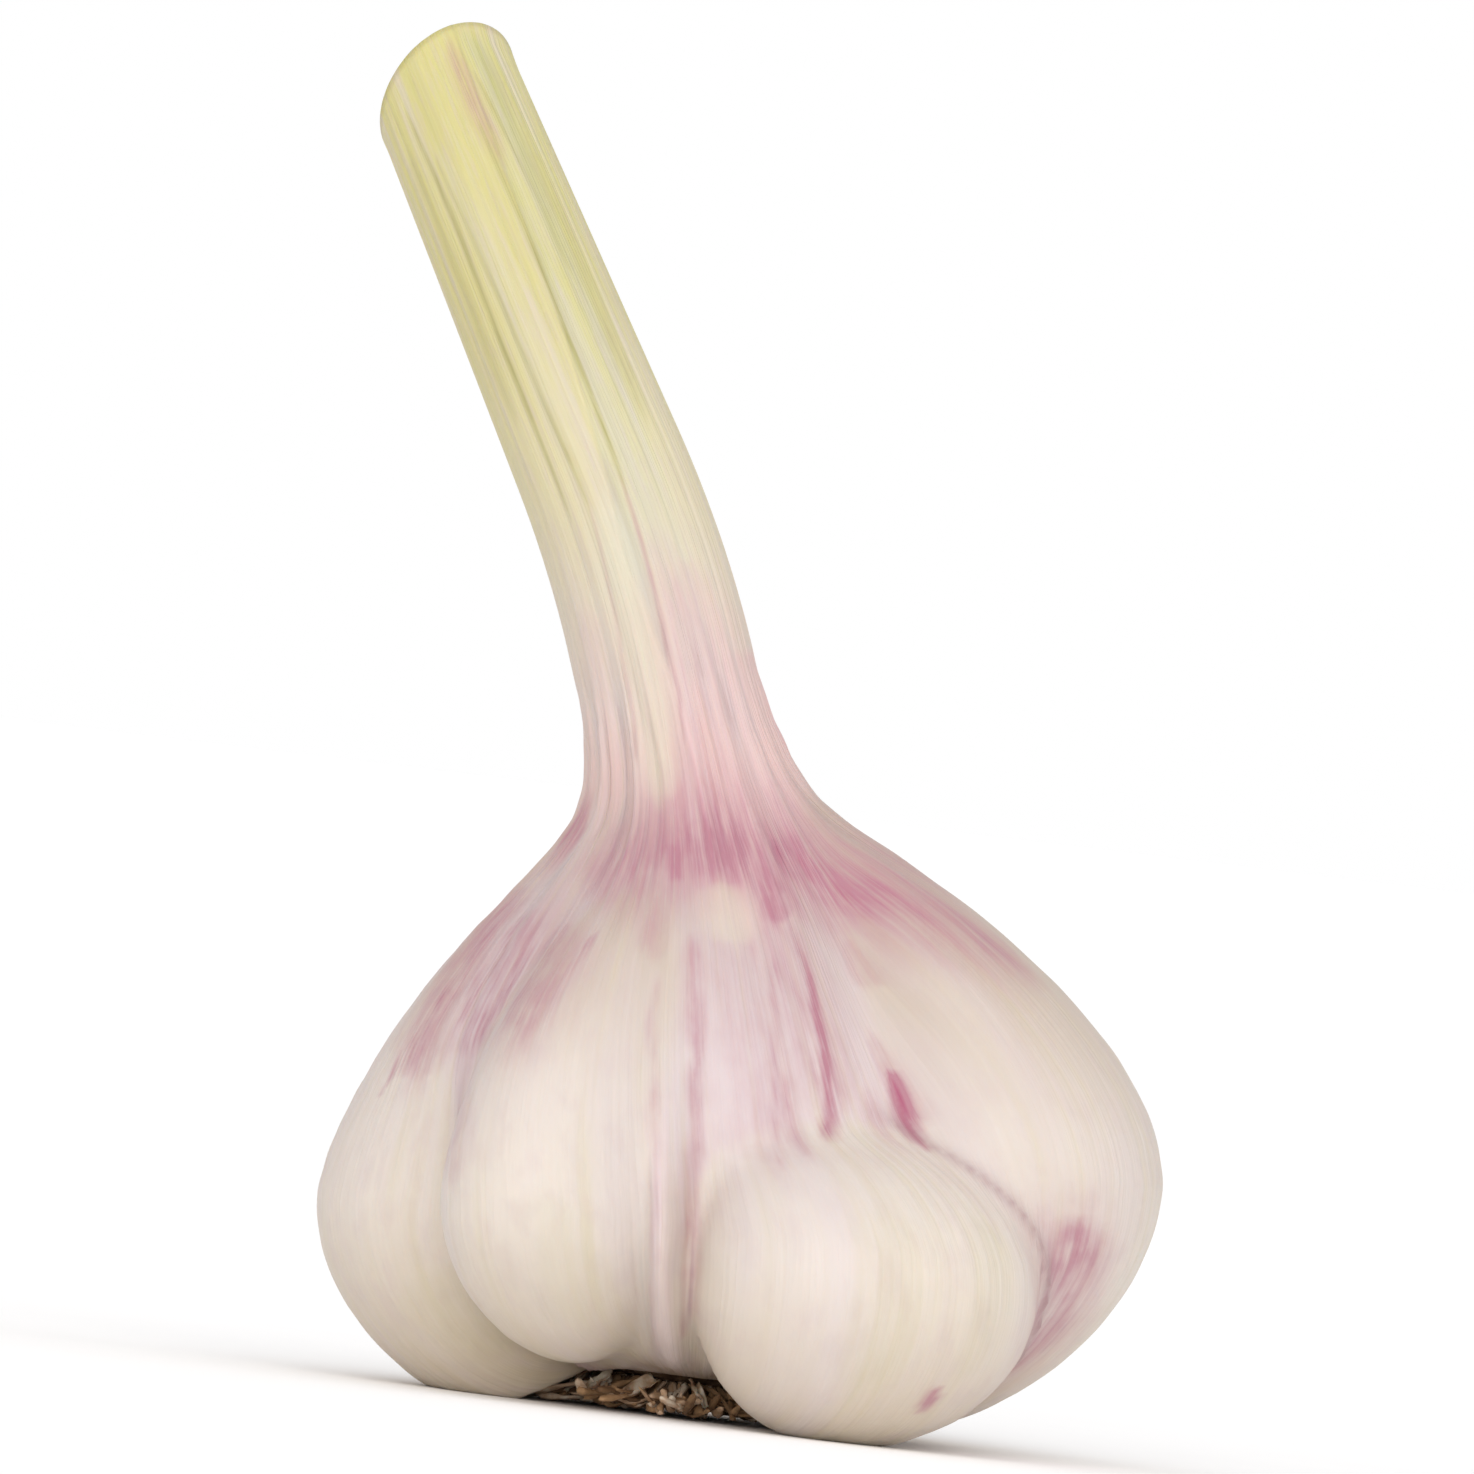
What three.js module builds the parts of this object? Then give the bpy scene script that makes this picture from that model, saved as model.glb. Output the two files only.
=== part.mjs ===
// A garlic bulb with its cut neck, in millimetres, +Z up, standing on the undersides of its cloves.
// Six cloves stand in a ring round the stalk on a root plate. One papery skin wraps them all, dips into
// the creases between them, and runs up the neck as its sheath. Trimmed roots hang under the plate.
// The origin is on the resting plane, at the centre of the bulb's bounding box.
import * as THREE from "three";

// ---- driving dimensions ----
const SKIN_WALL = 0.4; // the papery skin, a few dry layers thick
const CLEARANCE = 0.35; // left between pieces that touch
const CHORD_ROOM = 0.65; // what flat facets take off a curved wall

const FOOT = new THREE.Vector3(-0.8, 0, 3); // where the neck's centreline starts, in the root plate
const LEAN_LOW = THREE.MathUtils.degToRad(6.5); // lean of the centreline inside the bulb
const LEAN_HIGH = THREE.MathUtils.degToRad(29.5); // lean of the neck above its bend
const LEAN_TURN = THREE.MathUtils.degToRad(6); // the lean goes to the left and this much to the back
const BEND_START = 30; // distances along the centreline from FOOT
const BEND_END = 66;
const SHOULDER_END = 50; // where the bulb's rows of facets give way to the neck's
const CUT_AT = 94.4; // where the oblique cut crosses the centreline
const CUT_RISE_FRONT = 0.68; // how steeply the cut rises towards the front
const CUT_FALL_LEFT = 0.32; // and falls towards the left

const NECK_RADIUS = 6; // at the middle of the neck
const NECK_MIDDLE = 70;
const NECK_TAPER = 0.022; // radius lost per millimetre up the neck
const SHOULDER_TOP = 50; // height where the skin's shoulders would close to a point
const SHOULDER_FOOT = 16; // height where the taut skin between cloves is widest
const SHOULDER_POWER = 1.6; // 1 is a cone, and more is rounder
const WAIST_RADIUS = 21.5; // radius of the taut skin between cloves
const RIM_RADIUS = 7.6; // the skin's lower edge round the root plate
const RIM_HEIGHT = 3.2;
const BELLY_HEIGHT = 14; // between the rows of the underside and those of the shoulders
const DIMPLE_SLOPE = 0.6; // the underside falls away from the rim at this slope

const PLATE_RADIUS = 7;
const PLATE_TOP = 7.2;
const PLATE_BOTTOM = 2.3;
const STALK_RADIUS = 3.2; // between the cloves, under the neck
const STALK_WIDENS = 39; // above the tips of the cloves
const ROOT_RADIUS = 0.6;
const ROOT_END = 0.3; // the trimmed roots stop just above the resting plane
const ROOT_RINGS = [
  { radius: 2.4, count: 6 },
  { radius: 5.0, count: 12 },
];

// A clove is an egg round (x, y) at the height of its belly. deep is its half-depth outwards, wide its
// half-width round the bulb. Its tip leans tipLean towards the neck and its foot footLean to the plate.
// taper 2 gives it a round top, and less gives it a pointed one. Three feet are cut off at the resting
// plane, and those three flat spots carry the bulb.
const CLOVES = [
  { name: "clove_left", x: -17, y: 1.5, deep: 11.9, wide: 13,
    foot: -1.5, belly: 13, top: 41, footLean: 3.5, tipLean: 8, taper: 1.35 },
  { name: "clove_front_left", x: -11.3, y: -15.4, deep: 11, wide: 8,
    foot: 3.2, belly: 15, top: 37, footLean: 3, tipLean: 9, taper: 1.7 },
  { name: "clove_front_right", x: 10.5, y: -17, deep: 11.2, wide: 12.6,
    foot: -0.5, belly: 11, top: 21.5, footLean: 2, tipLean: 4, taper: 2.3 },
  { name: "clove_right", x: 19.2, y: -3, deep: 11.5, wide: 13,
    foot: 0.8, belly: 20, top: 43, footLean: 6, tipLean: 15, taper: 1.5 },
  { name: "clove_back_right", x: 11, y: 14.5, deep: 12, wide: 12.5,
    foot: -0.5, belly: 15, top: 40, footLean: 3.5, tipLean: 11, taper: 1.6 },
  { name: "clove_back_left", x: -8.5, y: 15.5, deep: 12, wide: 12,
    foot: -0.3, belly: 14, top: 38, footLean: 3.5, tipLean: 9, taper: 1.6 },
];

const SKIN_TURNS = 60; // facets round the skin
const FAN_ROWS = 11; // rows of facets on the underside
const BODY_ROWS = 17; // up to the shoulders
const NECK_ROWS = 10;
const CLOVE_TURNS = 18;
const CLOVE_ROWS = 12;
const STALK_TURNS = 24;
const STALK_ROWS = 16;
const PLATE_TURNS = 24;

const SKIN_COLOUR = 0xe6d8cb;
const CLOVE_COLOUR = 0xeadcc4;
const STALK_COLOUR = 0xdfd8a4;
const ROOT_COLOUR = 0x6a4a2f;

// ---- curves and fields ----

/** A point of the neck's centreline and its direction, at a distance along it: line, arc, line. */
function centreline(distance) {
  const bendRadius = (BEND_END - BEND_START) / (LEAN_HIGH - LEAN_LOW);
  const turned = THREE.MathUtils.clamp(distance - BEND_START, 0, BEND_END - BEND_START);
  const lean = LEAN_LOW + turned / bendRadius;
  const low = Math.min(distance, BEND_START);
  const high = Math.max(distance - BEND_END, 0);
  const sideways =
    low * Math.sin(LEAN_LOW) + bendRadius * (Math.cos(LEAN_LOW) - Math.cos(lean)) + high * Math.sin(lean);
  const height =
    low * Math.cos(LEAN_LOW) + bendRadius * (Math.sin(lean) - Math.sin(LEAN_LOW)) + high * Math.cos(lean);
  const left = new THREE.Vector3(-Math.cos(LEAN_TURN), Math.sin(LEAN_TURN), 0);
  const point = FOOT.clone().addScaledVector(left, sideways);
  point.z += height;
  const tangent = left.clone().multiplyScalar(Math.sin(lean));
  tangent.z = Math.cos(lean);
  return { point, tangent };
}

/** The centre of the bulb at a height below the bend, where the centreline is straight. */
function axisAt(height) {
  return centreline(Math.min((height - FOOT.z) / Math.cos(LEAN_LOW), BEND_START)).point;
}

function neckRadius(distance) {
  return NECK_RADIUS + NECK_TAPER * (NECK_MIDDLE - distance);
}

/** Signed distance to the neck. */
function neckDistance(p) {
  let distance = p.z - FOOT.z;
  for (let i = 0; i < 3; i++) {
    const { point, tangent } = centreline(distance);
    distance += p.clone().sub(point).dot(tangent);
  }
  return p.distanceTo(centreline(distance).point) - neckRadius(distance);
}

/** The radius of the taut skin between the cloves at a height: it closes up under the neck. */
function waistRadius(height) {
  const closed = THREE.MathUtils.clamp((height - SHOULDER_FOOT) / (SHOULDER_TOP - SHOULDER_FOOT), 0, 1);
  return WAIST_RADIUS * (1 - closed ** SHOULDER_POWER);
}

/** Signed distance, near the surface, to the taut body of skin between the cloves. */
function waistDistance(p) {
  const axis = axisAt(p.z);
  const radius = Math.hypot(p.x - axis.x, p.y - axis.y);
  if (p.z >= BELLY_HEIGHT) return (radius - waistRadius(p.z)) * 0.85;
  const reach = WAIST_RADIUS - RIM_RADIUS;
  const drop = BELLY_HEIGHT - RIM_HEIGHT;
  const out = Math.max(radius - RIM_RADIUS, 0) / reach;
  return (Math.hypot(out, (BELLY_HEIGHT - p.z) / drop) - 1) * drop;
}

/** Signed distance to the dimple under the bulb, where the skin rises to its rim at the root plate. */
function dimpleDistance(p) {
  const axis = axisAt(RIM_HEIGHT);
  const radius = Math.hypot(p.x - axis.x, p.y - axis.y);
  return (RIM_HEIGHT - (radius - RIM_RADIUS) * DIMPLE_SLOPE - p.z) * Math.cos(Math.atan(DIMPLE_SLOPE));
}

/** How far out from the bulb's axis the cloves start at a height. */
function coreRadius(height) {
  if (height > PLATE_TOP + 3) return STALK_RADIUS;
  if (height > RIM_HEIGHT + 2) return PLATE_RADIUS;
  return RIM_RADIUS + (RIM_HEIGHT + 2 - height) / DIMPLE_SLOPE;
}

/** The unit vector from the bulb's axis out through a clove. */
function outwards(clove) {
  const axis = axisAt(clove.belly);
  return new THREE.Vector2(clove.x - axis.x, clove.y - axis.y).normalize();
}

/** Where a height lies in a clove: 0 at its belly, 1 at its top or foot, with the lean at that height. */
function cloveLevel(clove, height) {
  const upper = height > clove.belly;
  const share = (height - clove.belly) / (upper ? clove.top - clove.belly : clove.foot - clove.belly);
  const lean = (upper ? clove.tipLean : clove.footLean) * Math.min(share, 1.2) ** 2;
  return { share, lean, power: upper ? clove.taper : 2 };
}

/** Signed distance, near the surface, to a clove. */
function cloveDistance(clove, p) {
  const out = outwards(clove);
  const { share, lean, power } = cloveLevel(clove, p.z);
  const dx = p.x - clove.x;
  const dy = p.y - clove.y;
  const deep = (dx * out.x + dy * out.y + lean) / clove.deep;
  const wide = (dy * out.x - dx * out.y) / clove.wide;
  const gauge = (Math.hypot(deep, wide) ** power + share ** power) ** (1 / power);
  return (gauge - 1) * clove.deep;
}

/** Signed distance, near the surface, to the wrapped bulb: creases are tight low down and soft above. */
function bulbDistance(p) {
  const softness = THREE.MathUtils.lerp(0.8, 1.6, THREE.MathUtils.smoothstep(p.z, 14, 38));
  const parts = [neckDistance(p), waistDistance(p), ...CLOVES.map((clove) => cloveDistance(clove, p))];
  const wrapped = -softness * Math.log(parts.reduce((sum, d) => sum + Math.exp(-d / softness), 0));
  return Math.max(wrapped, dimpleDistance(p));
}

/** How far a ray from inside the bulb goes to the level of bulbDistance that is asked for. */
function reach(origin, direction, level) {
  const at = (far) => bulbDistance(origin.clone().addScaledVector(direction, far)) - level;
  let outer = 45;
  while (outer > 1 && at(outer - 0.75) > 0) outer -= 0.75;
  let inner = outer - 0.75;
  for (let i = 0; i < 14; i++) {
    const middle = (inner + outer) / 2;
    if (at(middle) > 0) outer = middle;
    else inner = middle;
  }
  return inner;
}

/** Two unit vectors across the neck: to the right, and to the back. */
function across(tangent) {
  const back = new THREE.Vector3(Math.sin(LEAN_TURN), Math.cos(LEAN_TURN), 0);
  return { right: new THREE.Vector3().crossVectors(back, tangent), back };
}

/** A point at an angle and a radius round the neck's centreline. */
function ringPoint(distance, angle, radius) {
  const { point, tangent } = centreline(distance);
  const { right, back } = across(tangent);
  return point
    .addScaledVector(right, Math.cos(angle) * radius)
    .addScaledVector(back, Math.sin(angle) * radius);
}

/** How much further up the neck the oblique cut lies at an angle and a radius round it. */
function cutRise(angle, radius) {
  return (CUT_FALL_LEFT * Math.cos(angle) - CUT_RISE_FRONT * Math.sin(angle)) * radius;
}

// ---- shapes ----

/** A lathed surface whose every point is then put where place(angle, row) says. */
function lathed(rows, turns, place) {
  const profile = Array.from({ length: rows + 1 }, (_, row) => new THREE.Vector2(1, row));
  const geometry = new THREE.LatheGeometry(profile, turns);
  const position = geometry.getAttribute("position");
  for (let i = 0; i < position.count; i++) {
    const angle = ((Math.floor(i / (rows + 1)) % turns) / turns) * Math.PI * 2;
    const p = place(angle, i % (rows + 1));
    position.setXYZ(i, p.x, p.y, p.z);
  }
  return geometry;
}

/** A point of the skin at an angle and a row, depth millimetres inside its outer face. */
function skinPoint(angle, row, depth) {
  if (row <= FAN_ROWS) return undersidePoint(angle, row / FAN_ROWS, depth);
  if (row <= FAN_ROWS + BODY_ROWS) return shoulderPoint(angle, (row - FAN_ROWS) / BODY_ROWS, depth);
  return neckPoint(angle, (row - FAN_ROWS - BODY_ROWS) / NECK_ROWS, depth);
}

/** The underside, from the rim round the root plate out to the belly. */
function undersidePoint(angle, share, depth) {
  const origin = axisAt(THREE.MathUtils.lerp(RIM_HEIGHT, BELLY_HEIGHT, share)).setZ(BELLY_HEIGHT);
  const steepest = Math.atan2(BELLY_HEIGHT - RIM_HEIGHT, RIM_RADIUS);
  const fall = steepest * (1 - share);
  const direction = new THREE.Vector3(
    Math.cos(angle) * Math.cos(fall),
    Math.sin(angle) * Math.cos(fall),
    -Math.sin(fall),
  );
  const p = origin.clone().addScaledVector(direction, reach(origin, direction, -depth));
  p.z = Math.max(p.z, depth);
  return p;
}

/** From the belly up over the shoulders, by rays that turn square to the neck. */
function shoulderPoint(angle, share, depth) {
  const start = (BELLY_HEIGHT - FOOT.z) / Math.cos(LEAN_LOW);
  const distance = start + (SHOULDER_END - start) * share;
  const { point, tangent } = centreline(distance);
  const upright = new THREE.Vector3(0, 0, 1).lerp(tangent, share).normalize();
  const { right, back } = across(upright);
  const level = new THREE.Vector3(Math.cos(angle), Math.sin(angle), 0);
  const square = right.multiplyScalar(Math.cos(angle)).addScaledVector(back, Math.sin(angle));
  const direction = level.lerp(square, share).normalize();
  const asBulb = reach(point, direction, -depth);
  const asNeck = neckRadius(distance) - depth;
  const blend = THREE.MathUtils.smoothstep(share, 0.85, 1);
  return point.clone().addScaledVector(direction, THREE.MathUtils.lerp(asBulb, asNeck, blend));
}

/** Up the neck to the oblique cut. */
function neckPoint(angle, share, depth) {
  const top = CUT_AT + cutRise(angle, neckRadius(CUT_AT) - depth);
  const distance = THREE.MathUtils.lerp(SHOULDER_END, top, share);
  return ringPoint(distance, angle, neckRadius(distance) - depth);
}

/** The papery skin: its outer face up to the cut, and its inner face back down to the rim. */
function outerSkin() {
  const rows = FAN_ROWS + BODY_ROWS + NECK_ROWS;
  return lathed(2 * rows + 2, SKIN_TURNS, (angle, row) => {
    if (row <= rows) return skinPoint(angle, row, 0);
    if (row <= 2 * rows + 1) return skinPoint(angle, 2 * rows + 1 - row, SKIN_WALL);
    return skinPoint(angle, 0, 0);
  });
}

/** The distance from p, along a level direction, to a wall that stands square to normal. */
function wallShare(direction, normal, room) {
  return Math.max(direction.dot(normal), 0) / Math.max(room, 0.4);
}

/** A clove: its egg, flattened softly against its two neighbours and against the stalk. */
function clove(index) {
  const own = CLOVES[index];
  const out = outwards(own);
  const inset = SKIN_WALL + CLEARANCE + CHORD_ROOM;
  const walls = [-1, 1].map((side) => {
    const neighbour = outwards(CLOVES[(index + side + CLOVES.length) % CLOVES.length]);
    const between = out.clone().add(neighbour).normalize();
    return new THREE.Vector2(-between.y, between.x).multiplyScalar(side);
  });
  const egg = {
    ...own,
    top: own.top - 2 * inset,
    foot: own.foot + inset,
    deep: own.deep - inset,
    wide: own.wide - inset,
  };
  const bottom = Math.max(egg.foot, inset);
  return lathed(CLOVE_ROWS, CLOVE_TURNS, (angle, row) => {
    const height = THREE.MathUtils.lerp(bottom, egg.top, (1 - Math.cos((Math.PI * row) / CLOVE_ROWS)) / 2);
    const { share, lean, power } = cloveLevel(egg, height);
    const width = Math.max(1 - Math.min(share, 1) ** power, 0) ** (1 / power);
    const axis = axisAt(height);
    const centre = new THREE.Vector2(own.x, own.y).addScaledVector(out, -lean);
    const fromAxis = centre.clone().sub(new THREE.Vector2(axis.x, axis.y));
    const direction = new THREE.Vector2(Math.cos(angle), Math.sin(angle));
    const deep = direction.dot(out) / Math.max(egg.deep * width, 0.3);
    const wide = direction.cross(out) / Math.max(egg.wide * width, 0.3);
    const limits = [
      Math.hypot(deep, wide),
      wallShare(direction, out.clone().negate(), fromAxis.length() - coreRadius(height) - CLEARANCE),
      ...walls.map((normal) => wallShare(direction, normal, -fromAxis.dot(normal) - CLEARANCE / 2)),
    ];
    const ends = row === 0 || row === CLOVE_ROWS ? 0 : 1;
    const radius = ends / limits.reduce((sum, limit) => sum + limit ** 8, 0) ** (1 / 8);
    return new THREE.Vector3(centre.x + direction.x * radius, centre.y + direction.y * radius, height);
  });
}

/** The stalk: thin between the cloves, filling the neck above them up to the oblique cut. */
function stalk() {
  const inset = SKIN_WALL + CLEARANCE + CHORD_ROOM / 2;
  const radiusAt = (distance) => {
    const open = THREE.MathUtils.smoothstep(distance, STALK_WIDENS, SHOULDER_END);
    return THREE.MathUtils.lerp(STALK_RADIUS, neckRadius(distance) - inset, open);
  };
  const start = (PLATE_TOP + CLEARANCE - FOOT.z) / Math.cos(LEAN_LOW);
  return lathed(STALK_ROWS + 2, STALK_TURNS, (angle, row) => {
    if (row === 0) return centreline(start).point;
    if (row === STALK_ROWS + 2) return centreline(CUT_AT).point;
    const share = (row - 1) / STALK_ROWS;
    const distance = THREE.MathUtils.lerp(start, CUT_AT, share);
    const radius = radiusAt(distance);
    return ringPoint(distance + cutRise(angle, radius) * share ** 3, angle, radius);
  });
}

/** The root plate: a low corky cushion that the cloves and the stalk grow on. */
function rootPlate() {
  const middle = (PLATE_TOP + PLATE_BOTTOM) / 2;
  const outline = [
    [0, PLATE_BOTTOM],
    [PLATE_RADIUS * 0.85, PLATE_BOTTOM + 0.3],
    [PLATE_RADIUS, middle - 1],
    [PLATE_RADIUS * 0.8, middle + 0.6],
    [STALK_RADIUS, PLATE_TOP],
    [0, PLATE_TOP],
  ];
  const geometry = new THREE.LatheGeometry(outline.map(([r, z]) => new THREE.Vector2(r, z)), PLATE_TURNS);
  return geometry.rotateX(Math.PI / 2).translate(FOOT.x, FOOT.y, 0);
}

function sub(name, geometry, colour) {
  const material = new THREE.MeshStandardMaterial({ color: colour, roughness: 0.6, metalness: 0 });
  const mesh = new THREE.Mesh(geometry, material);
  mesh.name = name;
  return mesh;
}

/** The trimmed roots, in two rings under the plate, splayed outwards. */
function roots() {
  const top = PLATE_BOTTOM - CLEARANCE;
  const length = top - ROOT_END;
  const places = ROOT_RINGS.flatMap(({ radius, count }) =>
    Array.from({ length: count }, (_, i) => ({ radius, angle: (i / count) * Math.PI * 2 })),
  );
  return places.map(({ radius, angle }, i) => {
    const geometry = new THREE.CylinderGeometry(ROOT_RADIUS, ROOT_RADIUS * 0.7, length, 8);
    const root = sub(`root_${String(i + 1).padStart(2, "0")}`, geometry.rotateX(Math.PI / 2), ROOT_COLOUR);
    root.position.set(FOOT.x + Math.cos(angle) * radius, FOOT.y + Math.sin(angle) * radius, top - length / 2);
    return root;
  });
}

const bulb = new THREE.Group();
bulb.add(sub("outer_skin", outerSkin(), SKIN_COLOUR));
CLOVES.forEach((own, index) => bulb.add(sub(own.name, clove(index), CLOVE_COLOUR)));
bulb.add(sub("stalk", stalk(), STALK_COLOUR));
bulb.add(sub("root_plate", rootPlate(), ROOT_COLOUR));
bulb.add(...roots());

// The leaning neck puts the bounding box off the root plate, so the whole is moved over to its centre.
const box = new THREE.Box3().setFromObject(bulb);
const middle = box.getCenter(new THREE.Vector3());
bulb.position.set(-middle.x, -middle.y, 0);

const part = new THREE.Group();
part.add(bulb);

export default part;
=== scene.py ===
"""A garlic bulb with its cut neck, standing on the undersides of its cloves.

Shapes are worked out in millimetres in the design's own frame, and put into metres, over the root plate,
as the last step of making each piece.
"""

import math

import bmesh
import bpy
import numpy as np
from mathutils import Matrix, Vector, noise


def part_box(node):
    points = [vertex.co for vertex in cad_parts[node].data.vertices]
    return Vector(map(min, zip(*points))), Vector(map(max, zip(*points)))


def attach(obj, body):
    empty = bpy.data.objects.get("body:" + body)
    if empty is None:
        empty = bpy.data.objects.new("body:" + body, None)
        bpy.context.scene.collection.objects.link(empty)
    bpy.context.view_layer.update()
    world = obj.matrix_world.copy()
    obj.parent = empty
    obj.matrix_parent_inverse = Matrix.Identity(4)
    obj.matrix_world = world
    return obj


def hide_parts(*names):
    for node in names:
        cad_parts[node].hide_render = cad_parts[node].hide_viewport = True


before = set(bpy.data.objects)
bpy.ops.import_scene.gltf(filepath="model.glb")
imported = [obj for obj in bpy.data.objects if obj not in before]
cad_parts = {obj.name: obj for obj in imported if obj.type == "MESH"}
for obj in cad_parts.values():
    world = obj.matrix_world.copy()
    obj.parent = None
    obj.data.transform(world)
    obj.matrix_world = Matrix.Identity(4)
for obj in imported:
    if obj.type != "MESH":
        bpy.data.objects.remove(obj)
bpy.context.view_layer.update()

MM = 0.001

# ---- the design's own sizes, in millimetres ----
# The neck's centreline: a line, a bend and a line. "Along" it is measured from its foot.
FOOT = np.array((-0.8, 0.0, 3.0))  # where it starts, in the root plate
LEAN_LOW = math.radians(6.5)
LEAN_HIGH = math.radians(29.5)
LEAN_TURN = math.radians(6)  # it leans to the left, and this much backwards
BEND_START = 30
BEND_END = 66
NECK_BASE = 45  # where the neck leaves the shoulders
SHOULDER_END = 50  # where the bulb is a plain neck
CUT_AT = 94.4
CUT_RISE_FRONT = 0.68  # slopes of the oblique cut
CUT_FALL_LEFT = 0.32
NECK_RADIUS = 6  # half-way up the neck
NECK_MIDDLE = 70
NECK_TAPER = 0.022

# The taut body of skin between the cloves, by heights above the table.
BELLY_HEIGHT = 14
SHOULDER_FOOT = 16
SHOULDER_TOP = 50  # where the shoulders would close on the axis
SHOULDER_POWER = 1.6
SHOULDER_SLANT = 0.85  # makes a level gap to the sloping shoulders a distance
WAIST_RADIUS = 21.5
WAIST_TUCK = 2.8  # how far the dried skin has sunk in between the cloves, low down
TUCK_HEIGHTS = (12, 27)  # from full tuck to none
FOLD_RISE = 5  # how far a fold of skin caught between the two front cloves stands out of that
FOLD_ANGLE = math.radians(-96)
FOLD_WIDTH = math.radians(4.5)
RIM_RADIUS = 7.6  # of the skin's edge, round the root plate
RIM_HEIGHT = 3.2
DIMPLE_SLOPE = 0.6
TIGHT_CREASE = 0.4  # how softly the skin bridges two cloves, low down
CREASE_EASING = 1.1  # and how much more softly above
EASING_HEIGHTS = (9, 26)
SKIN_WALL = 0.4

STALK_RADIUS = 3.2  # between the cloves
PLATE_TOP = 7.2
LEAN_LIMIT = 1.2  # the last share of a clove's height at which its lean still grows
CLOVES = {  # in order round the stalk: each one's middle, half-widths, heights, leans and blunt or sharp top
    "clove_left": dict(x=-17, y=1.5, deep=11.9, wide=13, foot=-1.5, belly=13, top=41,
                       foot_lean=3.5, tip_lean=8, taper=1.35),
    "clove_front_left": dict(x=-11.3, y=-15.4, deep=11, wide=8, foot=3.2, belly=15, top=37,
                             foot_lean=3, tip_lean=9, taper=1.7),
    "clove_front_right": dict(x=10.5, y=-17, deep=11.2, wide=12.6, foot=-0.5, belly=11, top=21.5,
                              foot_lean=2, tip_lean=4, taper=2.3),
    "clove_right": dict(x=19.2, y=-3, deep=11.5, wide=13, foot=0.8, belly=20, top=43,
                        foot_lean=6, tip_lean=15, taper=1.5),
    "clove_back_right": dict(x=11, y=14.5, deep=12, wide=12.5, foot=-0.5, belly=15, top=40,
                             foot_lean=3.5, tip_lean=11, taper=1.6),
    "clove_back_left": dict(x=-8.5, y=15.5, deep=12, wide=12, foot=-0.3, belly=14, top=38,
                            foot_lean=3.5, tip_lean=9, taper=1.6),
}

plate_low, plate_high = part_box("root_plate")
plate_centre = (plate_low + plate_high) / 2 / MM
SHIFT = np.array((plate_centre.x - FOOT[0], plate_centre.y - FOOT[1], 0.0))
UP = np.array((0.0, 0.0, 1.0))
LEFTWARDS = np.array((-math.cos(LEAN_TURN), math.sin(LEAN_TURN), 0.0))
BACKWARDS = np.array((math.sin(LEAN_TURN), math.cos(LEAN_TURN), 0.0))


# ---- curves and fields ----
def smooth(value, low, high):
    """0 below low, 1 above high, and an S-curve between them."""
    t = np.clip((value - low) / (high - low), 0, 1)
    return t * t * (3 - 2 * t)


def unit(vectors):
    return vectors / np.linalg.norm(vectors, axis=-1, keepdims=True)


def column(values):
    return np.asarray(values, float)[..., None]


def centreline(distance):
    """Points of the neck's centreline and its directions, at distances along it: line, arc, line."""
    distance = np.asarray(distance, float)
    bend_radius = (BEND_END - BEND_START) / (LEAN_HIGH - LEAN_LOW)
    lean = LEAN_LOW + np.clip(distance - BEND_START, 0, BEND_END - BEND_START) / bend_radius
    low = np.minimum(distance, BEND_START)
    high = np.maximum(distance - BEND_END, 0)
    sideways = low * math.sin(LEAN_LOW) + high * np.sin(lean)
    sideways += bend_radius * (math.cos(LEAN_LOW) - np.cos(lean))
    height = low * math.cos(LEAN_LOW) + high * np.cos(lean)
    height += bend_radius * (np.sin(lean) - math.sin(LEAN_LOW))
    point = FOOT + column(sideways) * LEFTWARDS + column(height) * UP
    tangent = column(np.sin(lean)) * LEFTWARDS + column(np.cos(lean)) * UP
    return point, tangent


def axis_at(height):
    """Centres of the bulb at heights below the bend."""
    return centreline(np.minimum((height - FOOT[2]) / math.cos(LEAN_LOW), BEND_START))[0]


def neck_radius(distance):
    return NECK_RADIUS + NECK_TAPER * (NECK_MIDDLE - distance)


def neck_distance(p):
    """Signed distance to the neck, by a few steps towards the nearest place on its centreline."""
    along = p[:, 2] - FOOT[2]
    for _ in range(3):
        point, tangent = centreline(along)
        along = along + ((p - point) * tangent).sum(1)
    return np.linalg.norm(p - centreline(along)[0], axis=1) - neck_radius(along)


def waist_distance(p):
    """Signed distance to the taut body of skin between the cloves."""
    axis = axis_at(p[:, 2])
    radius = np.hypot(p[:, 0] - axis[:, 0], p[:, 1] - axis[:, 1])
    low = 1 - smooth(p[:, 2], *TUCK_HEIGHTS)
    turn = np.arctan2(p[:, 1] - axis[:, 1], p[:, 0] - axis[:, 0]) - FOLD_ANGLE
    waist = WAIST_RADIUS + low * (FOLD_RISE * np.exp(-((turn / FOLD_WIDTH) ** 2)) - WAIST_TUCK)
    closed = np.clip((p[:, 2] - SHOULDER_FOOT) / (SHOULDER_TOP - SHOULDER_FOOT), 0, 1)
    above = (radius - waist * (1 - closed**SHOULDER_POWER)) * SHOULDER_SLANT
    drop = BELLY_HEIGHT - RIM_HEIGHT
    out = np.maximum(radius - RIM_RADIUS, 0) / (waist - RIM_RADIUS)
    below = (np.hypot(out, (BELLY_HEIGHT - p[:, 2]) / drop) - 1) * drop
    return np.where(p[:, 2] >= BELLY_HEIGHT, above, below)


def outwards(clove):
    """The level direction from the bulb's axis to a clove's middle."""
    axis = axis_at(clove["belly"])
    return unit(np.array((clove["x"] - axis[0], clove["y"] - axis[1])))


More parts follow.
